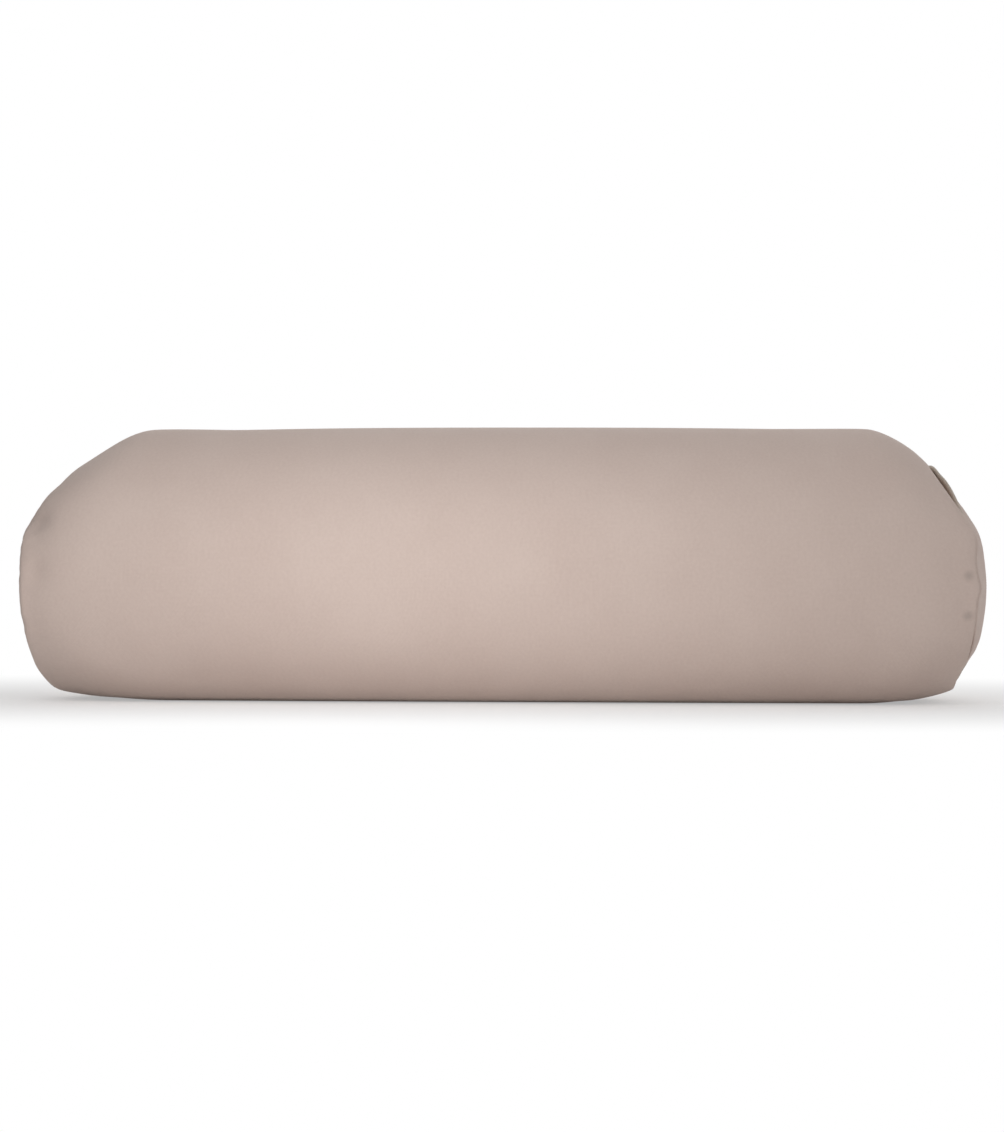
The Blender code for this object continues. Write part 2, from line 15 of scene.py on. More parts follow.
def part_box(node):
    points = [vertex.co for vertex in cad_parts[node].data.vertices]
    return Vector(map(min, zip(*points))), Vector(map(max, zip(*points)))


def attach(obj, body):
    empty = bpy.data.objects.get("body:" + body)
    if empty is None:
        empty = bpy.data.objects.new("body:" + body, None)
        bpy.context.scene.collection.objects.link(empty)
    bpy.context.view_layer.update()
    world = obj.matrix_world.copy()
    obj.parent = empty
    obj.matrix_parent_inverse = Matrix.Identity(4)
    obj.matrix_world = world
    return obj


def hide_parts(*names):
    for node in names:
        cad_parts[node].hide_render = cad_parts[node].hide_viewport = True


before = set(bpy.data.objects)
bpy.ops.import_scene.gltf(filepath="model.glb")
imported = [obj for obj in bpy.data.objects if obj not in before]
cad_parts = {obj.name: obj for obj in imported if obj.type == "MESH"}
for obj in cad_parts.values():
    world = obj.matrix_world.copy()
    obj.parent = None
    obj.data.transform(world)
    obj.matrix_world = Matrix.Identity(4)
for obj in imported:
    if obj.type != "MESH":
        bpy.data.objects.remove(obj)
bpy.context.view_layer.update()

# The filling: loose grain husks, poured into the inner sack and settled with the bolster lying down. The
# floor presses them flat below, they bulge at the sides, and they have run away from the tops of the two
# ends. The form that they give to the sack and the cover is worked out here, once for all three.
MM = 0.001
cover_low, cover_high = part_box("cover_body")
FULLNESS = 0.8 * MM
HALF_WIDTH = -cover_low.y - FULLNESS
TOP = cover_high.z - FULLNESS
WIDEST_Z = 95 * MM
FLOOR_PRESS = 4.2 * MM
FLOOR_SOFTNESS = 1.2 * MM
TOP_ROUNDNESS = 2.0
BELLY_ROUNDNESS = 2.35
ZIP_TILT = math.radians(10)
ZIP_PLANE = 102.4 * MM

End = namedtuple(
    "End", "side seam_x half_width top bottom fold_from fold_slope foot_lean shoulder bulge grooved"
)
Shoulder = namedtuple("Shoulder", "top side foot")
RIGHT = End(1, 330 * MM, 101 * MM, 166 * MM, 9 * MM, 0.40, 57 * MM, 15.5 * MM,
            Shoulder(44 * MM, 55 * MM, 66 * MM), 0.4 * MM, True)
LEFT = End(-1, 324 * MM, 100 * MM, 160 * MM, 6.5 * MM, 0.46, 35 * MM, 10 * MM,
           Shoulder(58 * MM, 55 * MM, 88 * MM), 8 * MM, False)
SHOULDER_POWER = 2.4
LESS_ABOVE = 0.8
LESS_BELOW = 0.4
FOLD_SOFTNESS = 0.07
FOOT_LEAN_POWER = 2.5
PANEL_PROUD = 2.4 * MM

STRAP_OUTER_X = 337 * MM
STRAP_MID_Z = 79 * MM
STRAP_CURVE = 4.6
STRAP_BACK = 3.3 * MM
FINGER_ROOM = 16 * MM
FINGER_FROM_Z = 104 * MM
FINGER_FULL_Z = 142 * MM
FINGER_LAST_Z = 146 * MM
FINGER_END_Z = 160 * MM
GROOVE_FLAT = 20 * MM
GROOVE_EDGE = 78 * MM
GROOVE_BACK_EDGE = 46 * MM
GROOVE_END_POWER = 30

# Each layer is the same form drawn in: in the tube, at the seam ring, along X at the ends and under the zip
Layer = namedtuple("Layer", "inset seam_inset setback zip_drop")
HUSKS = Layer(4.3 * MM, 18 * MM, 14 * MM, 5.8 * MM)


def smooth_step(low, high, value):
    share = np.clip((value - low) / (high - low), 0, 1)
    return share * share * (3 - 2 * share)


def soft_ramp(value, softness):
    """0 well below nought, value well above it, with a rounded corner between."""
    return (value + np.sqrt(value * value + softness * softness)) / 2


def section(angle, layer, fuller=0.0):
    """(y, z) of the full tube at angles from +Y: round above, fuller below, flat at the floor and zip."""
    roundness = 2 / np.where(np.sin(angle) >= 0, TOP_ROUNDNESS, BELLY_ROUNDNESS)
    height = np.where(np.sin(angle) >= 0, TOP - WIDEST_Z, WIDEST_Z + FLOOR_PRESS) - layer.inset + fuller
    half_width = HALF_WIDTH - layer.inset + fuller
    y = half_width * np.sign(np.cos(angle)) * np.abs(np.cos(angle)) ** roundness
    z = WIDEST_Z + height * np.sign(np.sin(angle)) * np.abs(np.sin(angle)) ** roundness
    z = layer.inset + soft_ramp(z - layer.inset, FLOOR_SOFTNESS)
    out = y * math.cos(ZIP_TILT) + (z - WIDEST_Z) * math.sin(ZIP_TILT)
    pressed = soft_ramp(out - ZIP_PLANE + layer.zip_drop, FLOOR_SOFTNESS)
    return y - pressed * math.cos(ZIP_TILT), z - pressed * math.sin(ZIP_TILT)


def end_points(end, angle, share, layer):
    """Points of an end, share of the way from its middle to the seam ring."""
    rise = share * np.sin(angle)
    y = share * (end.half_width - layer.seam_inset) * np.cos(angle)
    z = (end.top + end.bottom) / 2 + ((end.top - end.bottom) / 2 - layer.seam_inset) * rise
    corner = soft_ramp(0 - end.fold_from, FOLD_SOFTNESS)
    folded = end.fold_slope * (soft_ramp(rise - end.fold_from, FOLD_SOFTNESS) - corner)
    foot = end.foot_lean * np.maximum(0, -rise) ** FOOT_LEAN_POWER
    x = end.seam_x - layer.setback - np.maximum(0, folded) - foot + end.bulge * (1 - share**2)
    if share < 1:
        x = x + PANEL_PROUD
    if share < 1 and end.grooved:
        strap_back = STRAP_OUTER_X - STRAP_BACK - STRAP_CURVE * (z - STRAP_MID_Z) ** 2
        opens = smooth_step(FINGER_FROM_Z, FINGER_FULL_Z, z)
        opens = opens * (1 - smooth_step(FINGER_LAST_Z, FINGER_END_Z, z))
        groove = strap_back - FINGER_ROOM * opens - layer.setback
        edge = np.where(y > 0, GROOVE_BACK_EDGE, GROOVE_EDGE)
        weight = (1 - smooth_step(GROOVE_FLAT, edge, np.abs(y))) * (1 - share**GROOVE_END_POWER)
        x = x + (groove - x) * weight
    return np.stack([end.side * x, y, z], axis=-1)


def shoulder_points(end, angle, step, layer):
    """Points between the full tube, step 0, and the seam ring, step 1."""
    ring = end_points(end, angle, 1.0, layer)
    rise = np.sin(angle)
    other = np.where(rise > 0, end.shoulder.top, end.shoulder.foot)
    length = end.shoulder.side + (other - end.shoulder.side) * rise * rise
    drawn_in = step ** (SHOULDER_POWER - np.where(rise > 0, LESS_ABOVE, LESS_BELOW) * np.abs(rise))
    y, z = section(angle, layer)
    x = np.abs(ring[:, 0]) - (length - layer.setback) * (1 - step)
    y, z = y + (ring[:, 1] - y) * drawn_in, z + (ring[:, 2] - z) * drawn_in
    return np.stack([end.side * x, y, z], axis=-1)


def seam_points(end, angle, along, away, layer):
    """Points beside the seam ring, so many millimetres along X outwards and away from the axis."""
    ring = end_points(end, angle, 1.0, layer)
    outwards = ring * np.array([0, 1, 1]) - np.array([0, 0, (end.top + end.bottom) / 2])
    outwards /= np.linalg.norm(outwards, axis=1, keepdims=True)
    beside = np.zeros_like(ring)
    beside[:, 0] = end.side * along * MM
    return ring + beside + outwards * np.reshape(away * MM, (-1, 1))


def middle_points(angle, share, layer):
    """Points between the two shoulders, share of the way from left to right. The middle is the fullest."""
    y, z = section(angle, layer, FULLNESS * (1 - (2 * share - 1) ** 2))
    left = shoulder_points(LEFT, angle, 0.0, layer)[:, 0]
    right = shoulder_points(RIGHT, angle, 0.0, layer)[:, 0]
    return np.stack([left + (right - left) * share, y, z], axis=-1)


# Points nearer to each other than this are one point
TOUCHING = 0.002 * MM


def rolled(name, points, lengths):
    """A grid laid on rows and columns of points, and merged where it meets itself. lengths holds the
    cloth's own two lengths at each point, in metres, for its UV map."""
    rows, columns = points.shape[:2]
    bpy.ops.object.select_all(action="DESELECT")
    bpy.ops.mesh.primitive_grid_add(x_subdivisions=columns - 1, y_subdivisions=rows - 1, size=1)
    piece = bpy.context.object
    piece.name = name
    piece.data.vertices.foreach_set("co", points.ravel())
    corners = np.zeros(len(piece.data.loops), int)
    piece.data.loops.foreach_get("vertex_index", corners)
    piece.data.uv_layers.active.data.foreach_set("uv", lengths.reshape(-1, 2)[corners].ravel())
    bpy.ops.object.mode_set(mode="EDIT")
    bpy.ops.mesh.select_all(action="SELECT")
    bpy.ops.mesh.remove_doubles(threshold=TOUCHING)
    bpy.ops.object.mode_set(mode="OBJECT")
    return piece


def lengths_over(points):
    """Lengths along a grid's rows and columns of points, each measured through the grid's middle."""
    rows, columns = points.shape[:2]
    round_it = np.linalg.norm(np.diff(points[rows // 2], axis=0), axis=1)
    along_it = np.linalg.norm(np.diff(points[:, columns // 2], axis=0), axis=1)
    across, along = np.append(0, np.cumsum(round_it)), np.append(0, np.cumsum(along_it))
    return np.stack(np.meshgrid(across, along), axis=-1)


def finish_mesh(piece, steps):
    """Applies modifiers, each given as its kind and settings, and shades the piece smooth."""
    bpy.ops.object.select_all(action="DESELECT")
    piece.select_set(True)
    bpy.context.view_layer.objects.active = piece
    for kind, settings in steps:
        modifier = piece.modifiers.new(kind, kind)
        for name, value in settings.items():
            setattr(modifier, name, value)
        bpy.ops.object.modifier_apply(modifier=modifier.name)
    bpy.ops.object.shade_smooth()


def dress(piece, look, body, slot, *nodes):
    """Gives a finished piece its material and its body, and hides the solids that it stands for. The slot is
    not used.
    """
    piece.data.materials.clear()
    piece.data.materials.append(look)
    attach(piece, body)
    if nodes:
        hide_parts(*nodes)


def colour(code):
    """A hex sRGB colour as the linear values that shaders take."""
    channels = [int(code[i : i + 2], 16) / 255 for i in (1, 3, 5)]
    return [c / 12.92 if c <= 0.04045 else ((c + 0.055) / 1.055) ** 2.4 for c in channels] + [1.0]


def add_node(look, kind, settings=None, inputs=None, into=None):
    """Adds a node with its settings, sets or links its inputs, and links its outputs into other sockets."""
    made = look.node_tree.nodes.new(kind)
    for name, value in (settings or {}).items():
        setattr(made, name, value)
    for name, value in (inputs or {}).items():
        if isinstance(value, bpy.types.NodeSocket):
            look.node_tree.links.new(value, made.inputs[name])
        else:
            made.inputs[name].default_value = value
    for name, socket in (into or {}).items():
        look.node_tree.links.new(made.outputs[name], socket)
    return made.outputs


def new_look(name, roughness, **sockets):
    """A material and the inputs of its Principled shader."""
    look = bpy.data.materials.new(name)
    look.use_nodes = True
    inputs = look.node_tree.nodes["Principled BSDF"].inputs
    inputs["Roughness"].default_value = roughness
    for socket, value in sockets.items():
        inputs[socket.replace("_", " ")].default_value = value
    return look, inputs


# Grain husks: dry, curled flakes of about 5 mm, from straw to dark brown, matt with dull ridges
HUSK_SIZE = 5 * MM
HUSK_RIDGE = 1 * MM
HUSK_RELIEF = 1.2 * MM
husk_look, husk_inputs = new_look("dry grain husks", 0.75)
husk_place = add_node(husk_look, "ShaderNodeTexCoord")["Object"]
flakes = add_node(husk_look, "ShaderNodeTexVoronoi", None, {"Vector": husk_place, "Scale": 1 / HUSK_SIZE})
husk_tone = add_node(husk_look, "ShaderNodeSeparateColor", None, {"Color": flakes["Color"]})["Red"]
add_node(husk_look, "ShaderNodeMixRGB", None,
         {"Fac": husk_tone, "Color1": colour("#5E3F22"), "Color2": colour("#C9A56E")},
         {"Color": husk_inputs["Base Color"]})
add_node(husk_look, "ShaderNodeBump", None,
         {"Height": flakes["Distance"], "Strength": 0.8, "Distance": HUSK_RIDGE},
         {"Normal": husk_inputs["Normal"]})

husk_angle = np.linspace(0, math.tau, 85)
husk_shares = (0, 0.2, 0.4, 0.58, 0.74, 0.88, 0.97)
husk_shoulder = (0.0, 0.25, 0.5, 0.75, 1.0)
husk_rows = [end_points(LEFT, husk_angle, share, HUSKS) for share in husk_shares]
husk_rows += [shoulder_points(LEFT, husk_angle, step, HUSKS) for step in husk_shoulder[::-1]]
husk_rows += [middle_points(husk_angle, share, HUSKS) for share in np.linspace(0, 1, 46)[1:-1]]
husk_rows += [shoulder_points(RIGHT, husk_angle, step, HUSKS) for step in husk_shoulder]
husk_rows += [end_points(RIGHT, husk_angle, share, HUSKS) for share in husk_shares[::-1]]
husk_points = np.array(husk_rows)
husks = rolled("husk_filling", husk_points, lengths_over(husk_points))
husk_grain = bpy.data.textures.new("husk grain", "VORONOI")
husk_grain.noise_scale = HUSK_SIZE
finish_mesh(husks, [
    ("SUBSURF", {"levels": 1, "render_levels": 1}),
    ("DISPLACE", {"texture": husk_grain, "texture_coords": "LOCAL", "strength": HUSK_RELIEF,
                  "mid_level": 1.0}),
])
dress(husks, husk_look, "bolster", "husk_filling", "filling")

# The inner sack: a plain tube and two round ends of unbleached cotton, sewn up round the husks for good,
# so that the cover can come off for the wash. Its seams are turned in, and the husks stretch it smooth.
SACK = Layer(2.9 * MM, 10.5 * MM, 9 * MM, 4.3 * MM)
SACK_CLOTH = 0.6 * MM
SACK_LIP = ((0.7, -0.3), (1.2, -0.9), (1.2, -2.6), (-2.0, -5.2))
SACK_END_LIP = ((-1.8, -5.6), (1.3, -4.2), (2.2, -5.0), (2.4, -7.0))
SACK_END_SHARES = (0.86, 0.74, 0.6, 0.45, 0.3, 0.15, 0.0)
SACK_THREAD = 0.9 * MM
DRIFT_SIZE = 60 * MM
SLUB_THREADS = 2.5


def woven_look(name, roughness, dark, light, thread, relief, **sockets):
    """A plain-woven cloth, in which each thread goes over one and under one, after the lengths in its UV
    map. Its tone drifts slowly over a hand's breadth, and a little from thread to thread."""
    look, inputs = new_look(name, roughness, **sockets)
    cloth = add_node(look, "ShaderNodeUVMap")["UV"]
    lengths = add_node(look, "ShaderNodeSeparateXYZ", None, {"Vector": cloth})
    waves = []
    for axis in "XY":
        turns = add_node(look, "ShaderNodeMath", {"operation": "MULTIPLY"},
                         {0: lengths[axis], 1: math.pi / thread})[0]
        waves.append(add_node(look, "ShaderNodeMath", {"operation": "SINE"}, {0: turns})[0])
    crossing = add_node(look, "ShaderNodeMath", {"operation": "MULTIPLY"}, {0: waves[0], 1: waves[1]})[0]
    heights = []
    for wave, rises in zip(waves, (1.0, -1.0)):
        size = add_node(look, "ShaderNodeMath", {"operation": "ABSOLUTE"}, {0: wave})[0]
        heights.append(add_node(look, "ShaderNodeMath", {"operation": "MULTIPLY_ADD"},
                                {0: crossing, 1: rises, 2: size})[0])
    weave = add_node(look, "ShaderNodeMath", {"operation": "MAXIMUM"}, {0: heights[0], 1: heights[1]})[0]
    place = add_node(look, "ShaderNodeTexCoord")["Object"]
    drift = add_node(look, "ShaderNodeTexNoise", None,
                     {"Vector": place, "Scale": 1 / DRIFT_SIZE, "Detail": 3.0})["Fac"]
    slubs = add_node(look, "ShaderNodeTexNoise", None,
                     {"Vector": cloth, "Scale": 1 / (SLUB_THREADS * thread), "Detail": 2.0})["Fac"]
    tone = add_node(look, "ShaderNodeMath", {"operation": "ADD"}, {0: drift, 1: slubs})[0]
    share = add_node(look, "ShaderNodeMapRange", None,
                     {"Value": tone, "From Min": 0.7, "From Max": 1.3})["Result"]
    add_node(look, "ShaderNodeMixRGB", None,
             {"Fac": share, "Color1": colour(dark), "Color2": colour(light)},
             {"Color": inputs["Base Color"]})
    add_node(look, "ShaderNodeBump", None, {"Height": weave, "Strength": 0.5, "Distance": relief},
             {"Normal": inputs["Normal"]})
    return look


# Unbleached calico: cream, dull and open, with a thread of 0.45 mm that is drawn twice as coarse
calico = woven_look("unbleached calico", 0.95, "#DDD3BE", "#EAE2D0", SACK_THREAD, 0.15 * MM)

sack_angle = np.linspace(0, math.tau, 97)
sack_shoulder = (0.0, 0.2, 0.4, 0.6, 0.8, 1.0)
sack_rows = [seam_points(LEFT, sack_angle, *spot, SACK) for spot in SACK_LIP[::-1]]
sack_rows += [shoulder_points(LEFT, sack_angle, step, SACK) for step in sack_shoulder[::-1]]
sack_rows += [middle_points(sack_angle, share, SACK) for share in np.linspace(0, 1, 30)[1:-1]]
sack_rows += [shoulder_points(RIGHT, sack_angle, step, SACK) for step in sack_shoulder]
sack_rows += [seam_points(RIGHT, sack_angle, *spot, SACK) for spot in SACK_LIP]
sack_points = np.array(sack_rows)
sack_body = rolled("inner_sack_tube", sack_points, lengths_over(sack_points))
sack_steps = [
    ("SUBSURF", {"levels": 1, "render_levels": 1}),
    ("SOLIDIFY", {"thickness": SACK_CLOTH, "offset": -1}),
]
finish_mesh(sack_body, sack_steps)
dress(sack_body, calico, "bolster", "sack_fabric", "inner_sack_body")


def end_disc(name, end, angle, lips, shares, layer):
    """A round end, from the ring inside its seam to its middle. Its weave runs straight across it."""
    turned = angle if end.side > 0 else math.pi - angle
    rows = [seam_points(end, turned, along, away, layer) for along, away in lips]
    rows += [end_points(end, turned, share, layer) for share in shares]
    points = np.array(rows)
    return rolled(name, points, points[:, :, 1:].copy())


for sack_node, sack_end in (("inner_sack_end_right", RIGHT), ("inner_sack_end_left", LEFT)):
    disc = end_disc(sack_node + "_cloth", sack_end, sack_angle, SACK_END_LIP, SACK_END_SHARES, SACK)
    finish_mesh(disc, sack_steps)
    dress(disc, calico, "bolster", "sack_fabric", sack_node)

# The tube of the cover: one rectangle of plain-woven cotton, rolled round the filling. Its two long
# edges are hemmed under along the zip at the back, and its round edges are turned in and sewn to the end
# panels.
COVER = Layer(0.0, 0.0, 0.0, 0.0)
COVER_CLOTH = 0.6 * MM
COVER_THREAD = 0.9 * MM
COLUMN_STEP = 5.8 * MM
SLIT_END = 212 * MM
SLIT_CLOSES = (SLIT_END - 3 * MM, SLIT_END + 2 * MM)
SLIT_HALF_WIDTH = 5.83 * MM
SHUT_HALF_WIDTH = 0.02 * MM
HEM = (
    (12, 1.3), (8.5, 1.3), (6.3, 1.25), (5.83, 0.65), (6.2, 0.05), (7.2, 0), (9.5, 0), (14, 0), (18.5, 0),
)
HEM_REACH = 14 * MM
TUBE_LIP = ((0.9, -0.5), (1.5, -1.5), (1.7, -2.8), (1.2, -4.3), (-1.5, -6.6), (-5.0, -9.2))
FLAT_TUBE_LIP = ((0.5, -0.4), (0.8, -1.2), (0.7, -2.5), (0.1, -4.0), (-2.0, -6.5), (-5.0, -9.2))
SHOULDER_STEPS = (0.0, 0.1, 0.2, 0.3, 0.4, 0.5, 0.58, 0.66, 0.74, 0.81, 0.87, 0.92, 0.965, 1.0)
SLIT_ROWS = (192, 199, 204, 208, 210.6, 212.6, 214.6, 217.5, 222, 229, 237, 247, 258)

# Taupe cotton: matt and close, with a thread of 0.45 mm that is drawn twice as coarse, and hardly any fuzz
cover_cotton = woven_look("taupe cotton, plain weave", 0.9, "#D1BDB3", "#D7C4BA", COVER_THREAD, 0.12 * MM,
                          Sheen_Weight=0.08, Sheen_Roughness=0.6)
# Two small, soft spots beside the right seam make the cloth's colour darker, each fading out over a few
# millimetres
MARKS = ((325, -102.5, 90.5), (324.5, -97.5, 63))
MARK_RADIUS = 5.5 * MM
MARK_TONE = 0.78
cotton_place = add_node(cover_cotton, "ShaderNodeTexCoord")["Object"]
cotton_base = cover_cotton.node_tree.nodes["Principled BSDF"].inputs["Base Color"]
for mark in MARKS:
    from_mark = add_node(cover_cotton, "ShaderNodeVectorMath", {"operation": "DISTANCE"},
                         {0: cotton_place, 1: [c * MM for c in mark]})["Value"]
    fade = add_node(cover_cotton, "ShaderNodeMapRange", {"interpolation_type": "SMOOTHSTEP"},
                    {"Value": from_mark, "From Max": MARK_RADIUS, "To Min": MARK_TONE})["Result"]
    unmarked = cotton_base.links[0].from_socket
    add_node(cover_cotton, "ShaderNodeMixRGB", {"blend_type": "MULTIPLY"},
             {"Fac": 1.0, "Color1": unmarked, "Color2": fade}, {"Color": cotton_base})

# The cloth's length round the tube, from the zip up and over to the zip again
ZIP_LIES_WITHIN = (-0.1, 0.5)
table_angle = np.linspace(*ZIP_LIES_WITHIN, 601)
table_y, table_z = section(table_angle, COVER)
below_zip = table_y * math.sin(ZIP_TILT) - (table_z - WIDEST_Z) * math.cos(ZIP_TILT)
zip_angle = np.interp(0, below_zip[::-1], table_angle[::-1])
table_angle = np.linspace(zip_angle, zip_angle + math.tau, 4001)
table_y, table_z = section(table_angle, COVER)
table_length = np.append(0, np.cumsum(np.hypot(np.diff(table_y), np.diff(table_z))))
girth = table_length[-1]

plain_columns = np.linspace(HEM[-1][0] * MM, girth - HEM[-1][0] * MM, int(girth / COLUMN_STEP))[1:-1]
hem_from_edge = np.array([spot[0] for spot in HEM]) * MM
hem_depth = np.array([spot[1] for spot in HEM]) * MM
hem_length = np.append(0, np.cumsum(np.hypot(np.diff(hem_from_edge), np.diff(hem_depth))))
hem_length += hem_from_edge[-1] - hem_length[-1]
column_depth = np.concatenate([hem_depth, 0 * plain_columns, hem_depth[::-1]])
column_length = np.concatenate([hem_length, plain_columns, girth - hem_length[::-1]])


def column_angles(x):
    """Each column's angle in a row that crosses the zip's line at x. Past the slit, its two edges meet."""
    open_share = 1 - smooth_step(*SLIT_CLOSES, abs(x))
    edge = SHUT_HALF_WIDTH + (SLIT_HALF_WIDTH - SHUT_HALF_WIDTH) * open_share
    stretch = (HEM_REACH - edge) / (HEM_REACH - SLIT_HALF_WIDTH)
    near = hem_from_edge < HEM_REACH
    from_edge = np.where(near, edge + (hem_from_edge - SLIT_HALF_WIDTH) * stretch, hem_from_edge)
    places = np.concatenate([from_edge, plain_columns, girth - from_edge[::-1]])
    return np.interp(places, table_length, table_angle)


zip_line = np.array([zip_angle])
half_rows = list(np.linspace(0, SLIT_ROWS[0], 17)[1:-1]) + list(SLIT_ROWS)
middle_x = np.array([-x for x in half_rows[::-1]] + [0] + half_rows) * MM
left_start = shoulder_points(LEFT, zip_line, 0.0, COVER)[0, 0]
right_start = shoulder_points(RIGHT, zip_line, 0.0, COVER)[0, 0]
middle_shares = (middle_x - left_start) / (right_start - left_start)


def cover_rows(turn):
    """All rows of the tube's cloth, with every column turned a little round the tube."""
    shut = column_angles(LEFT.seam_x) + turn
    rows = [seam_points(LEFT, shut, *spot, COVER) for spot in TUBE_LIP[::-1]]
    rows += [shoulder_points(LEFT, shut, step, COVER) for step in SHOULDER_STEPS[::-1]]
    for x, share in zip(middle_x, middle_shares):
        rows.append(middle_points(column_angles(x) + turn, share, COVER))
    rows += [shoulder_points(RIGHT, shut, step, COVER) for step in SHOULDER_STEPS]
    rows += [seam_points(RIGHT, shut, *spot, COVER) for spot in FLAT_TUBE_LIP]
    return np.array(rows)


SMALL_TURN = 0.002
HEM_IN_SEAM = 0.3
cover_points = cover_rows(0.0)
outwards = np.cross(cover_rows(SMALL_TURN) - cover_points, np.gradient(cover_points, axis=0))
outwards /= np.linalg.norm(outwards, axis=2, keepdims=True)
row_numbers = np.arange(len(cover_points))
from_seam = np.minimum(row_numbers, row_numbers[::-1])
hem_share = np.where(from_seam < len(TUBE_LIP), HEM_IN_SEAM, 1.0)
cover_points = cover_points - outwards * column_depth[None, :, None] * hem_share[:, None, None]

middle_column = len(column_length) // 2
row_steps = np.linalg.norm(np.diff(cover_points[:, middle_column], axis=0), axis=1)
row_length = np.append(0, np.cumsum(row_steps))
row_length -= np.interp(0, cover_points[:, middle_column, 0], row_length)
cover_lengths = np.stack(np.meshgrid(column_length, row_length), axis=-1)
cover = rolled("cover_tube", cover_points, cover_lengths)


def vertex_places(piece):
    places = np.zeros(len(piece.data.vertices) * 3)
    piece.data.vertices.foreach_get("co", places)
    return places.reshape(-1, 3)


# The cloth settles on its filling. It is pinned at its seams and hems, a little too wide, and pushed out.
SETTLE_FRAMES = 20
MOST_SETTLING = 1.3 * MM
LEAST_SETTLING = 0.001 * MM
SMOOTHINGS = 3
HELD_BY_FLOOR = 3 * MM
# Between these two, the rows lie too close together to settle evenly, and they follow their neighbours
EVEN_UP_TO = SLIT_ROWS[1] * MM
EVEN_FROM = SLIT_ROWS[-4] * MM
before = vertex_places(cover)
sewn = np.zeros(cover_points.shape[:2])
sewn[from_seam <= len(TUBE_LIP) + 1] = 1.0
sewn[:, : len(HEM)] = 1.0
sewn[:, -len(HEM):] = 1.0
sewn_group = cover.vertex_groups.new(name="sewn")
sewn_group.add([int(k) for k in np.flatnonzero(sewn.ravel())], 1.0, "REPLACE")
cloth = cover.modifiers.new("Cloth", "CLOTH")
cloth.settings.quality = 5
cloth.settings.mass = 0.3
cloth.settings.tension_stiffness = 15
cloth.settings.bending_stiffness = 0.5
cloth.settings.use_pressure = True
cloth.settings.uniform_pressure_force = 4.0
cloth.settings.vertex_group_mass = sewn_group.name
cloth.settings.effector_weights.gravity = 0.0
cloth.settings.shrink_min = -0.012
cloth.point_cache.frame_start = 1
cloth.point_cache.frame_end = SETTLE_FRAMES
for frame_number in range(1, SETTLE_FRAMES + 1):
    bpy.context.scene.frame_set(frame_number)
bpy.ops.object.select_all(action="DESELECT")
cover.select_set(True)
bpy.context.view_layer.objects.active = cover
bpy.ops.object.modifier_apply(modifier=cloth.name)
cover.vertex_groups.clear()
bpy.context.scene.frame_set(1)
moved = (vertex_places(cover) - before).reshape(cover_points.shape)
row_x = np.abs(cover_points[:, middle_column, 0])
even_rows = np.flatnonzero((row_x < EVEN_UP_TO) | (row_x > EVEN_FROM))
even_length = row_length[even_rows]
for column, axis in np.ndindex(moved.shape[1:]):
    moved[:, column, axis] = np.interp(row_length, even_length, moved[even_rows, column, axis])
for _ in range(SMOOTHINGS):
    moved[1:-1] = (moved[:-2] + 2 * moved[1:-1] + moved[2:]) / 4
    moved[:, 1:-1] = (moved[:, :-2] + 2 * moved[:, 1:-1] + moved[:, 2:]) / 4
moved = moved.reshape(-1, 3)
distance = np.linalg.norm(moved, axis=1, keepdims=True)
moved *= MOST_SETTLING * np.tanh(distance / MOST_SETTLING) / np.maximum(distance, LEAST_SETTLING)
settled = before + moved
settled[:, 2] = np.where(before[:, 2] < HELD_BY_FLOOR, before[:, 2], settled[:, 2])
cover.data.vertices.foreach_set("co", settled.ravel())
cover.data.update()

# Small folds run from the seams into the cloth, where the thread has drawn it up. They fade within a few
# centimetres. Each entry is the folds in a full turn, where they start, and their share of the height.
PUCKERS = ((53, 0.4, 0.35), (34, 2.2, 0.3), (19, 4.1, 0.35))
PUCKER_HEIGHT = 0.35 * MM
PUCKER_REACH = 6 * MM
PUCKERS_CLEAR_FLOOR = (1 * MM, 6 * MM)
UNEVENNESS = 0.3
# Dents and puffs that the photograph shows: the middle of each, its radii, and how far the cloth has
# moved, in mm
DENTS = (
    ((-290, 0, 172), (32, 80, 26), (0.8, 0, -3.2)),
    ((-311, -20, 155), (9, 60, 8), (1.4, 0, -1.1)),
    ((-318.5, -85, 126.5), (10, 22, 7.5), (1.1, 6.1, -0.8)),
    ((-313, -92, 91), (9, 18, 9), (0.5, 3.2, 0)),
    ((-322, -90, 55), (8, 30, 5), (1.2, 0.4, 0)),
    ((-312, -75, 24), (10, 30, 7), (-1.3, 0, 0)),
    ((331, -92, 82), (10, 22, 6), (1.9, 0, 0)),
    ((331, -90, 101), (10, 22, 8), (-1.4, 0, 0)),
    ((322, 0, 19), (9, 90, 9), (-2.4, 0, 0)),
)


def cloth_places(piece):
    """Each vertex's place in the piece's UV map."""
    corners = np.zeros(len(piece.data.loops), int)
    piece.data.loops.foreach_get("vertex_index", corners)
    flat = np.zeros(len(corners) * 2)
    piece.data.uv_layers.active.data.foreach_get("uv", flat)
    lengths = np.zeros((len(piece.data.vertices), 2))
    lengths[corners] = flat.reshape(-1, 2)
    return lengths


def puckers(angle, away):
    """The height of the folds at angles round a seam and distances from it."""
    waves = sum(part * np.sin(turns * angle + start) for turns, start, part in PUCKERS)
    reach = np.maximum(away, 0) / PUCKER_REACH
    here_and_there = 1 - UNEVENNESS + UNEVENNESS * np.sin(5 * angle)
    return PUCKER_HEIGHT * waves * here_and_there * reach * np.exp(1 - reach)


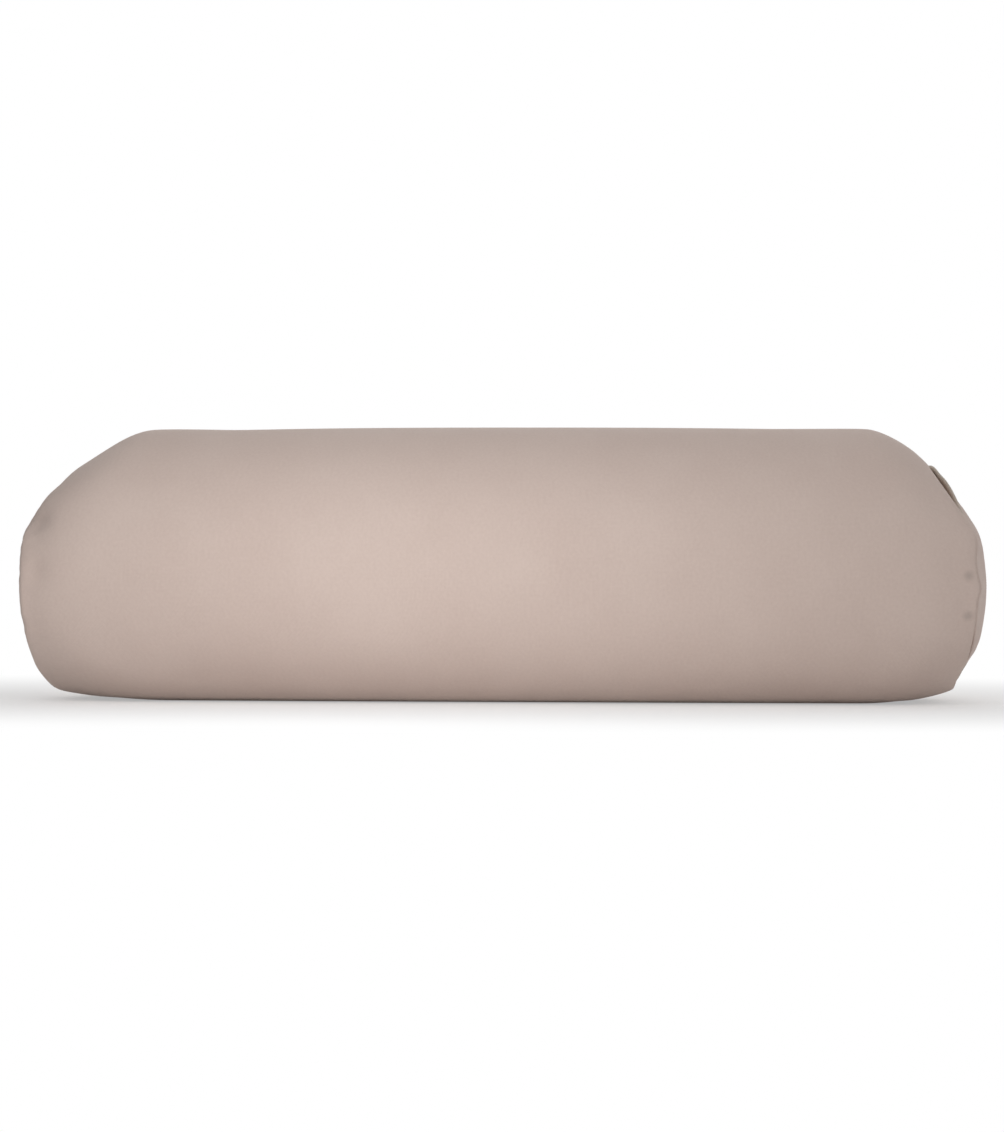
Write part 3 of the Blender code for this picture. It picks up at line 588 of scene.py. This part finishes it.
def dented(piece, moved):
    """Moves a piece's vertices, and then dents it."""
    places = vertex_places(piece)
    places_in_mm = places / MM
    for middle, radii, move in DENTS:
        distance = np.sum(((places_in_mm - middle) / radii) ** 2, axis=1, keepdims=True)
        moved = moved + np.exp(-distance) * np.array(move) * MM
    piece.data.vertices.foreach_set("co", (places + moved).ravel())
    piece.data.update()


finish_mesh(cover, [("SUBSURF", {"levels": 1, "render_levels": 1})])
cover_out = np.zeros(len(cover.data.vertices) * 3)
cover.data.vertex_normals.foreach_get("vector", cover_out)
round_tube, along_tube = cloth_places(cover).T
turned_by = np.interp(round_tube, table_length, table_angle)
to_left = along_tube - row_length[len(TUBE_LIP)]
to_right = row_length[-len(TUBE_LIP) - 1] - along_tube
tube_puckers = puckers(turned_by, to_left) + puckers(turned_by + 1, to_right)
off_floor = smooth_step(*PUCKERS_CLEAR_FLOOR, vertex_places(cover)[:, 2])
dented(cover, cover_out.reshape(-1, 3) * (tube_puckers * off_floor)[:, None])
finish_mesh(cover, [("SOLIDIFY", {"thickness": COVER_CLOTH, "offset": -1})])
dress(cover, cover_cotton, "bolster", "cover_fabric", "cover_body")

# The end panels: two discs of the same cotton, sewn into the ends of the tube with the allowance turned
# in. The right one is pressed in behind the strap, where a hand goes through, and the left one bulges a
# little.
PANEL_CLOTH = 0.6 * MM
PANEL_LIP = ((-4.8, -9.7), (-1.2, -7.4), (1.3, -5.4), (2.2, -6.5), (2.4, -9.0))
FLAT_PANEL_LIP = ((-4.8, -9.7), (-1.6, -7.0), (0.6, -4.9), (1.6, -5.5), (2.3, -8.2))
PANEL_LIP_AT_STRAP = ((-2.5, -13.6), (1.0, -10.9), (3.8, -8.8), (4.3, -9.8), (3.6, -11.6))
PANEL_SHARES = (0.87, 0.82, 0.76, 0.69, 0.61, 0.52, 0.43, 0.33, 0.22, 0.11, 0.0)
PUCKERS_FROM = 0.9
PUFF = 3.7 * MM
BEHIND_STRAP = 0.7 * MM
# The puffs beside the strap rise and fall over these distances from it, and over these heights
PUFF_STARTS = (14 * MM, 34 * MM)
PUFF_ENDS = (52 * MM, 96 * MM)
STRAP_SIDE = (10 * MM, 34 * MM)
PUFF_FOOT = (22 * MM, 48 * MM)
PUFF_HEAD = (97 * MM, 127 * MM)

panel_angle = np.linspace(0, math.tau, 121)
for panel_node, panel_end in (("cover_end_right", RIGHT), ("cover_end_left", LEFT)):
    from_strap = np.abs(panel_end.half_width * np.cos(panel_angle))
    sewn_under = panel_end.grooved * (1 - smooth_step(GROOVE_FLAT, 2 * GROOVE_FLAT, from_strap))
    panel_lip = []
    for usual, at_strap in zip(FLAT_PANEL_LIP if panel_end.grooved else PANEL_LIP, PANEL_LIP_AT_STRAP):
        panel_lip.append([u + (s - u) * sewn_under for u, s in zip(usual, at_strap)])
    panel = end_disc(panel_node + "_cloth", panel_end, panel_angle, panel_lip, PANEL_SHARES, COVER)
    finish_mesh(panel, [("SUBSURF", {"levels": 1, "render_levels": 1})])
    panel_y, panel_z = cloth_places(panel).T
    rise = (2 * panel_z - panel_end.top - panel_end.bottom) / (panel_end.top - panel_end.bottom)
    run = panel_y / panel_end.half_width
    from_lip = (PUCKERS_FROM - np.hypot(rise, run)) * panel_end.half_width
    panel_turn = np.mod(np.arctan2(rise, run), math.tau)
    panel_out = puckers(panel_turn + (panel_end.side > 0), from_lip)
    beside_strap = smooth_step(*PUFF_STARTS, abs(panel_y)) * (1 - smooth_step(*PUFF_ENDS, abs(panel_y)))
    behind_strap = 1 - smooth_step(*STRAP_SIDE, abs(panel_y))
    held = smooth_step(*PUFF_FOOT, panel_z) * (1 - smooth_step(*PUFF_HEAD, panel_z))
    panel_out += panel_end.grooved * held * (PUFF * beside_strap + BEHIND_STRAP * behind_strap)
    dented(panel, panel_out[:, None] * np.array([panel_end.side, 0, 0]))
    finish_mesh(panel, [("SOLIDIFY", {"thickness": PANEL_CLOTH, "offset": -1})])
    dress(panel, cover_cotton, "bolster", "cover_fabric", panel_node)

# The carrying strap: flat cotton webbing, laid over the right end from 12 to 6 o'clock. Its ends lie
# between the cloths of the seam, where they are sewn in, and it stands off the slack panel at the top.
STRAP_ROUTE = (
    (291.6, 154.9), (294.4, 158.2), (296.4, 161.2), (298.4, 162.1), (300.6, 160.3), (303.3, 156.9),
    (307.2, 152.7), (310.5, 147.7), (313.3, 142.4), (316.0, 136.7), (319.4, 130.1), (324.0, 121.9),
    (330.3, 112.5), (334.0, 100.5), (335.8, 86.0), (335.6, 72.0), (333.3, 57.5), (329.2, 43.5),
    (324.7, 31.0), (321.9, 23.6), (319.7, 18.8), (316.6, 16.7), (311.2, 20.6),
)
STRAP_WIDTH = 32 * MM
STRAP_THICKNESS = 2.4 * MM
STRAP_ROLL = 0.09
ROLL_FROM_Z = 118 * MM
ROLL_TO_Z = 140 * MM
RIB_ACROSS = 1.6 * MM
RIB_ALONG = 2.0 * MM
RIB_HEIGHT = 0.36 * MM
PICK_DIP = 0.25


def smooth_route(points, steps):
    """Points along a Catmull-Rom curve through the given ones."""
    ends = np.array([points[0], *points, points[-1]], float)
    route = []
    for a, b, c, d in zip(ends, ends[1:], ends[2:], ends[3:]):
        for t in np.arange(steps) / steps:
            square, cube = 2 * a - 5 * b + 4 * c - d, 3 * b - a - 3 * c + d
            route.append(0.5 * (2 * b + (c - a) * t + square * t * t + cube * t**3))
    return np.array(route + [ends[-1]])


def swept(name, route, across, profile):
    """A closed bar along a route. across is the direction of the profile's first numbers, and the
    profile is one ring for the whole route or one for each of its points."""
    tangent = np.gradient(route, axis=0)
    tangent /= np.linalg.norm(tangent, axis=1, keepdims=True)
    side = across - tangent * np.sum(across * tangent, axis=1, keepdims=True)
    side /= np.linalg.norm(side, axis=1, keepdims=True)
    up = np.cross(side, tangent)
    rings = np.broadcast_to(profile, (len(route), *profile.shape[-2:]))
    points = route[:, None] + side[:, None] * rings[:, :, :1] + up[:, None] * rings[:, :, 1:]
    first = np.broadcast_to(route[:1, None], points[:1].shape)
    last = np.broadcast_to(route[-1:, None], points[:1].shape)
    points = np.concatenate([first, points, last])
    return rolled(name, points, lengths_over(points))


def bar_profile(width, thickness, columns):
    """A flat bar's ring with round edges, closed on itself."""
    half_thick = thickness / 2
    flat = np.linspace(-width / 2 + half_thick, width / 2 - half_thick, columns)
    edge = np.linspace(math.pi / 2, -math.pi / 2, 7)[1:-1]
    top = np.stack([flat, 0 * flat + half_thick], axis=-1)
    right = np.stack([flat[-1] + half_thick * np.cos(edge), half_thick * np.sin(edge)], axis=-1)
    return np.concatenate([top, right, -top, -right, top[:1]])


strap_route = smooth_route(STRAP_ROUTE, 24) * MM
strap_lengths = np.append(0, np.cumsum(np.linalg.norm(np.diff(strap_route, axis=0), axis=1)))
strap_places = np.linspace(0, strap_lengths[-1], 190)
strap_line = np.zeros((len(strap_places), 3))
strap_line[:, 0] = np.interp(strap_places, strap_lengths, strap_route[:, 0])
strap_line[:, 2] = np.interp(strap_places, strap_lengths, strap_route[:, 1])
strap_ring = bar_profile(STRAP_WIDTH, STRAP_THICKNESS, 76)
rib_phase = math.pi * strap_ring[:, 0] / RIB_ACROSS
pick_phase = math.pi * strap_places[:, None] / RIB_ALONG
picks = 1 - PICK_DIP + PICK_DIP * np.sin(2 * pick_phase + 2 * rib_phase)
ribs = np.abs(np.sin(rib_phase)) * picks
on_face = np.isclose(np.abs(strap_ring[:, 1]), STRAP_THICKNESS / 2)
strap_rings = np.broadcast_to(strap_ring, (len(strap_places), *strap_ring.shape)).copy()
strap_rings[:, :, 1] += RIB_HEIGHT * ribs * on_face * np.sign(strap_ring[:, 1])

# Cotton webbing: dull, greyer than the cover, in ribs of 1.6 mm that catch the light along their tops
webbing = woven_look("cotton webbing", 0.85, "#C8BBAE", "#D5C9BC", RIB_ACROSS / 2, 0.1 * MM,
                     Sheen_Weight=0.1)
strap_rise = np.gradient(strap_line, axis=0)
strap_out = np.stack([-strap_rise[:, 2], 0 * strap_places, strap_rise[:, 0]], axis=-1)
strap_out /= np.linalg.norm(strap_out, axis=1, keepdims=True)
roll = STRAP_ROLL * smooth_step(ROLL_FROM_Z, ROLL_TO_Z, strap_line[:, 2:])
strap = swept("webbing_strap", strap_line, np.array([0.0, 1.0, 0.0]) - roll * strap_out, strap_rings)
finish_mesh(strap, [])
dented(strap, 0)
dress(strap, webbing, "bolster", "strap_webbing", "handle_strap")

# The zip: two woven tapes, sewn behind the hems of the slit, and on each a row of teeth, wound from one
# nylon filament. The rows are half a pitch apart, so each tooth sits in a gap of the other row.
TAPE_HALF_LENGTH = 220 * MM
TAPE_EDGE = 15 * MM
TAPE_INNER = 0.9 * MM
TAPE_TOP = -1.5 * MM
TAPE_THICKNESS = 0.8 * MM
SLIDER_X = 192 * MM
SPLAY = 1.6 * MM
SPLAY_FROM = SLIDER_X - 4.5 * MM
SPLAY_TO = SLIDER_X + 2.5 * MM
COIL_PITCH = 3.0 * MM
COIL_START = -202 * MM
COIL_END = 199.5 * MM
FILAMENT = 0.48 * MM
COIL_MIDDLE = (1.08 * MM, -0.35 * MM)
COIL_REACH = (1.1 * MM, 0.37 * MM)
COIL_CORNERS = 8
COIL_STEP = (0.3, 0.7)

zip_middle = Vector((0, ZIP_PLANE * math.cos(ZIP_TILT), WIDEST_Z + ZIP_PLANE * math.sin(ZIP_TILT)))
zip_frame = Matrix.Translation(zip_middle) @ Matrix.Rotation(ZIP_TILT - math.pi / 2, 4, "X")
zip_turn = np.array(zip_frame.to_3x3())
zip_origin = np.array(zip_frame.translation)


def on_zip(x, across, out):
    """Places from the zip's own directions: along it, down across it, and out of the cover."""
    return np.stack(np.broadcast_arrays(x, across, out), axis=-1) @ zip_turn.T + zip_origin


def splay(x):
    """How far each row has parted at a place along the zip."""
    return SPLAY * smooth_step(SPLAY_FROM, SPLAY_TO, x)


# Polyester zip tape: a close plain weave with a faint shine, dyed to match the cover
tape_look = woven_look("polyester zip tape", 0.8, "#B09B8E", "#BCA89B", 0.8 * MM, 0.1 * MM)
# Nylon filament: smooth and slightly waxy, with a soft highlight along every turn
coil_look, coil_inputs = new_look("nylon zip filament", 0.38, IOR=1.53)
coil_place = add_node(coil_look, "ShaderNodeTexCoord")["Object"]
coil_shade = add_node(coil_look, "ShaderNodeTexNoise", None,
                      {"Vector": coil_place, "Scale": 1 / (9 * MM)})["Fac"]
add_node(coil_look, "ShaderNodeMixRGB", None,
         {"Fac": coil_shade, "Color1": colour("#A69184"), "Color2": colour("#BFAB9E")},
         {"Color": coil_inputs["Base Color"]})

tape_x = np.concatenate([np.linspace(-TAPE_HALF_LENGTH, SPLAY_FROM, 60)[:-1],
                         np.linspace(SPLAY_FROM, SPLAY_TO, 10)[:-1],
                         np.linspace(SPLAY_TO, TAPE_HALF_LENGTH, 8)])
for zip_side, zip_name, offset in ((-1, "upper", 0.0), (1, "lower", COIL_PITCH / 2)):
    inner_edge = TAPE_INNER + splay(tape_x)[:, None]
    tape_across = zip_side * (inner_edge + (TAPE_EDGE - inner_edge) * np.linspace(0, 1, 8))
    tape_points = on_zip(tape_x[:, None], tape_across[:, ::-zip_side], TAPE_TOP)
    tape = rolled("zip_tape_" + zip_name + "_cloth", tape_points, lengths_over(tape_points))
    finish_mesh(tape, [("SOLIDIFY", {"thickness": TAPE_THICKNESS, "offset": -1})])
    dress(tape, tape_look, "bolster", "zip_tape", "zip_tape_" + zip_name)

    turns = int((COIL_END - COIL_START - offset) / COIL_PITCH)
    corner = np.arange(turns * COIL_CORNERS) / COIL_CORNERS
    turn_angle = math.tau * corner
    head = np.floor(corner + 0.5)
    steps_over = head + np.sign(corner - head) * smooth_step(*COIL_STEP, np.abs(corner - head))
    coil_x = COIL_START + offset + COIL_PITCH * (steps_over + 0.5)
    coil_across = COIL_MIDDLE[0] - COIL_REACH[0] * np.cos(turn_angle) + splay(coil_x)
    coil_out = COIL_MIDDLE[1] + COIL_REACH[1] * np.sin(turn_angle)
    coil_line = on_zip(coil_x, zip_side * coil_across, coil_out)
    round_wire = np.linspace(0, math.tau, 7)
    wire_ring = FILAMENT * np.stack([np.cos(round_wire), np.sin(round_wire)], axis=-1)
    coil = swept("zip_coil_" + zip_name + "_filament", coil_line, np.array([1.0, 0.0, 0.0]), wire_ring)
    finish_mesh(coil, [])
    dress(coil, coil_look, "bolster", "zip_coil", "zip_coil_" + zip_name)

# The slider, its tab and the stops: nickel-plated zinc and steel. The slider is die-cast, the tab and
# the clips are stamped and tumbled, so every edge is a little round.
METAL_EDGE = 0.16 * MM
METALS = (("zip_slider", "slider"), ("zip_pull_tab", "pull_tab"), ("zip_top_stop_upper", "bolster"),
          ("zip_top_stop_lower", "bolster"), ("zip_bottom_stop", "bolster"))

# Nickel plate: a warm grey metal with a satin, slightly cloudy shine from tumbling
nickel, nickel_inputs = new_look("nickel-plated zinc", 0.3, Metallic=1.0)
nickel_place = add_node(nickel, "ShaderNodeTexCoord")["Object"]
nickel_wear = add_node(nickel, "ShaderNodeTexNoise", None,
                       {"Vector": nickel_place, "Scale": 1 / (1.5 * MM), "Detail": 4.0})["Fac"]
add_node(nickel, "ShaderNodeMixRGB", None,
         {"Fac": nickel_wear, "Color1": colour("#8F8A82"), "Color2": colour("#A9A49C")},
         {"Color": nickel_inputs["Base Color"]})
add_node(nickel, "ShaderNodeMapRange", None, {"Value": nickel_wear, "To Min": 0.24, "To Max": 0.42},
         {"Result": nickel_inputs["Roughness"]})

for metal_node, metal_body in METALS:
    metal = bpy.data.objects.new(metal_node + "_metal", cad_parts[metal_node].data.copy())
    bpy.context.scene.collection.objects.link(metal)
    bpy.ops.object.select_all(action="DESELECT")
    metal.select_set(True)
    bpy.context.view_layer.objects.active = metal
    bpy.ops.object.mode_set(mode="EDIT")
    bpy.ops.mesh.select_all(action="SELECT")
    bpy.ops.mesh.remove_doubles(threshold=TOUCHING)
    bpy.ops.mesh.dissolve_limited(angle_limit=math.radians(1.0))
    bpy.ops.object.mode_set(mode="OBJECT")
    finish_mesh(metal, [("BEVEL", {"width": METAL_EDGE, "segments": 2, "limit_method": "ANGLE",
                                   "angle_limit": math.radians(30)})])
    bpy.ops.object.shade_smooth_by_angle(angle=math.radians(50))
    even_faces = metal.modifiers.new("even faces", "WEIGHTED_NORMAL")
    even_faces.keep_sharp = True
    bpy.ops.object.modifier_apply(modifier=even_faces.name)
    dress(metal, nickel, metal_body, "zip_metal", metal_node)

# The stitches: each tape is sewn behind its hem with one straight row of polyester thread, and a bar
# tack closes each end of the slit. The thread is dyed to match, and it sinks a little into the cloth at
# every hole.
STITCH_PITCH = 3.2 * MM
STITCH_LENGTH = 2.7 * MM
THREAD = 0.24 * MM
STITCH_FROM_EDGE = 2.2 * MM
TACK_PITCH = 0.55 * MM
TACK_STITCHES = 6

# Sewing thread: two plies twisted together, so it shows a slanting band every 0.6 mm
thread_look, thread_inputs = new_look("polyester sewing thread", 0.6, Sheen_Weight=0.1)
thread_lengths = add_node(thread_look, "ShaderNodeUVMap")["UV"]
plies = add_node(thread_look, "ShaderNodeTexWave", {"bands_direction": "DIAGONAL"},
                 {"Vector": thread_lengths, "Scale": 1 / (1 * MM)})["Fac"]
add_node(thread_look, "ShaderNodeMixRGB", None,
         {"Fac": plies, "Color1": colour("#B7A396"), "Color2": colour("#D2BFB3")},
         {"Color": thread_inputs["Base Color"]})


def stitches(name, start, stop, count, step):
    """A row of stitches, each with both ends in the cloth. The first lies between two places on the zip's
    strip, each (along, across)."""
    share = np.array([0.0, 0.12, 0.35, 0.65, 0.88, 1.0])
    out = np.array([-0.25, 0.06, 0.14, 0.14, 0.06, -0.25]) * MM
    line = on_zip(start[0] + (stop[0] - start[0]) * share, start[1] + (stop[1] - start[1]) * share, out)
    round_thread = np.linspace(0, math.tau, 6)
    ring = THREAD * np.stack([np.cos(round_thread), np.sin(round_thread)], axis=-1)
    row = swept(name, line, zip_turn[:, 2], ring)
    finish_mesh(row, [("ARRAY", {"count": count, "use_relative_offset": False, "use_constant_offset": True,
                                 "constant_offset_displace": (step, 0, 0)})])
    dress(row, thread_look, "bolster", "cover_fabric")


stitch_across = SLIT_HALF_WIDTH + STITCH_FROM_EDGE
row_start = -SLIT_END + 2 * MM
row_stitches = int(-2 * row_start / STITCH_PITCH)
for zip_side, zip_name in ((-1, "upper"), (1, "lower")):
    across = zip_side * stitch_across
    stitches("zip_stitches_" + zip_name, (row_start, across), (row_start + STITCH_LENGTH, across),
             row_stitches, STITCH_PITCH)
for end_side, end_name in ((-1, "left"), (1, "right")):
    tack_x = end_side * (SLIT_END - 1 * MM) - TACK_STITCHES / 2 * TACK_PITCH
    stitches("bar_tack_" + end_name, (tack_x, -stitch_across), (tack_x, stitch_across), TACK_STITCHES,
             TACK_PITCH)

# The studio: a plain white floor under soft daylight, which is a little stronger from the right. A small
# key lamp in front makes the bolster brightest left of its middle, and three more lamps light its right, its
# top and its back. The camera looks from the front, a little from the right and above.
FLOOR_SIZE = 12.0
AMBIENT_FROM_LEFT = 0.34
AMBIENT_FROM_RIGHT = 0.5
VIEW_AZIMUTH = math.radians(5.18)
VIEW_ELEVATION = math.radians(1.34)
VIEW_DISTANCE = 3.455
VIEW_TARGET = Vector((-0.0011, 0, 0.094))
LENS_IN_PIXELS = 4920
IMAGE_HEIGHT = 1132
LAMP_AIM = Vector((-0.05, -0.05, 0.1))
# Each lamp's name, place, size and power: the key in front, a fill at the right, one overhead, one behind
LAMPS = (("key lamp", (-0.08, -0.51, 0.23), 0.28, 0.86), ("fill lamp", (1.1, -0.45, 0.35), 0.5, 0.5),
         ("overhead lamp", (0.3, 0.1, 1.1), 0.9, 1.05), ("back lamp", (-0.1, 1.3, 0.5), 0.8, 5.0))
# The floor turns to plain white away from the bolster, over a ring that is drawn out along it
FLOOR_STRETCH = 0.45
SHADOW_FULL_TO = 0.16
SHADOW_GONE_FROM = 0.42
LIT_IN_SHADOW = 0.4


def seen_directly(look):
    """1 for rays from the camera, from a gloss or through glass, which show the background white."""
    path = add_node(look, "ShaderNodeLightPath")
    seen = add_node(look, "ShaderNodeMath", {"operation": "MAXIMUM"},
                    {0: path["Is Camera Ray"], 1: path["Is Glossy Ray"]})[0]
    return add_node(look, "ShaderNodeMath", {"operation": "MAXIMUM"},
                    {0: seen, 1: path["Is Transmission Ray"]})[0]


floor_look, floor_inputs = new_look("matt white floor", 0.9)
floor_inputs["Base Color"].default_value = colour("#FAFAFA")
bpy.ops.object.select_all(action="DESELECT")
bpy.ops.mesh.primitive_plane_add(size=FLOOR_SIZE, location=(0, 0, 0))
floor = bpy.context.object
floor.name = "floor"
floor.data.materials.append(floor_look)
floor_place = add_node(floor_look, "ShaderNodeTexCoord")["Object"]
floor_scaled = add_node(floor_look, "ShaderNodeVectorMath", {"operation": "MULTIPLY"},
                        {0: floor_place, 1: (FLOOR_STRETCH, 1, 1)})["Vector"]
floor_far = add_node(floor_look, "ShaderNodeVectorMath", {"operation": "LENGTH"},
                     {0: floor_scaled})["Value"]
floor_fade = add_node(floor_look, "ShaderNodeMapRange", {"interpolation_type": "SMOOTHSTEP"},
                      {"Value": floor_far, "From Min": SHADOW_FULL_TO, "From Max": SHADOW_GONE_FROM,
                       "To Min": LIT_IN_SHADOW})["Result"]
floor_white = add_node(floor_look, "ShaderNodeMath", {"operation": "MULTIPLY"},
                       {0: seen_directly(floor_look), 1: floor_fade})[0]
glow = add_node(floor_look, "ShaderNodeEmission", None, {"Color": colour("#FFFFFF")})["Emission"]
floor_nodes = floor_look.node_tree.nodes
add_node(floor_look, "ShaderNodeMixShader", None,
         {0: floor_white, 1: floor_nodes["Principled BSDF"].outputs["BSDF"], 2: glow},
         {"Shader": floor_nodes["Material Output"].inputs["Surface"]})

studio = bpy.data.worlds.new("studio")
bpy.context.scene.world = studio
studio.use_nodes = True
background = studio.node_tree.nodes["Background"].inputs
background["Color"].default_value = colour("#FFFFFF")
sky_place = add_node(studio, "ShaderNodeTexCoord")["Generated"]
sky_side = add_node(studio, "ShaderNodeSeparateXYZ", None, {"Vector": sky_place})["X"]
daylight = add_node(studio, "ShaderNodeMapRange", None,
                    {"Value": sky_side, "From Min": -1.0, "From Max": 1.0, "To Min": AMBIENT_FROM_LEFT,
                     "To Max": AMBIENT_FROM_RIGHT})["Result"]
add_node(studio, "ShaderNodeMapRange", None,
         {"Value": seen_directly(studio), "To Min": daylight, "To Max": 1.0},
         {"Result": background["Strength"]})

for lamp_name, lamp_place, lamp_size, lamp_power in LAMPS:
    bpy.ops.object.light_add(type="AREA", location=lamp_place)
    lamp = bpy.context.object
    lamp.name = lamp_name
    lamp.rotation_euler = (LAMP_AIM - Vector(lamp_place)).to_track_quat("-Z", "Y").to_euler()
    lamp.data.size = lamp_size
    lamp.data.energy = lamp_power
    lamp.visible_camera = False

sight = Vector((-math.sin(VIEW_AZIMUTH) * math.cos(VIEW_ELEVATION),
                math.cos(VIEW_AZIMUTH) * math.cos(VIEW_ELEVATION), -math.sin(VIEW_ELEVATION)))
bpy.ops.object.camera_add(location=VIEW_TARGET - sight * VIEW_DISTANCE)
camera = bpy.context.object
camera.rotation_euler = sight.to_track_quat("-Z", "Y").to_euler()
camera.data.sensor_width = 36
camera.data.lens = LENS_IN_PIXELS / IMAGE_HEIGHT * camera.data.sensor_width
bpy.context.scene.camera = camera
bpy.context.scene.view_settings.view_transform = "Standard"
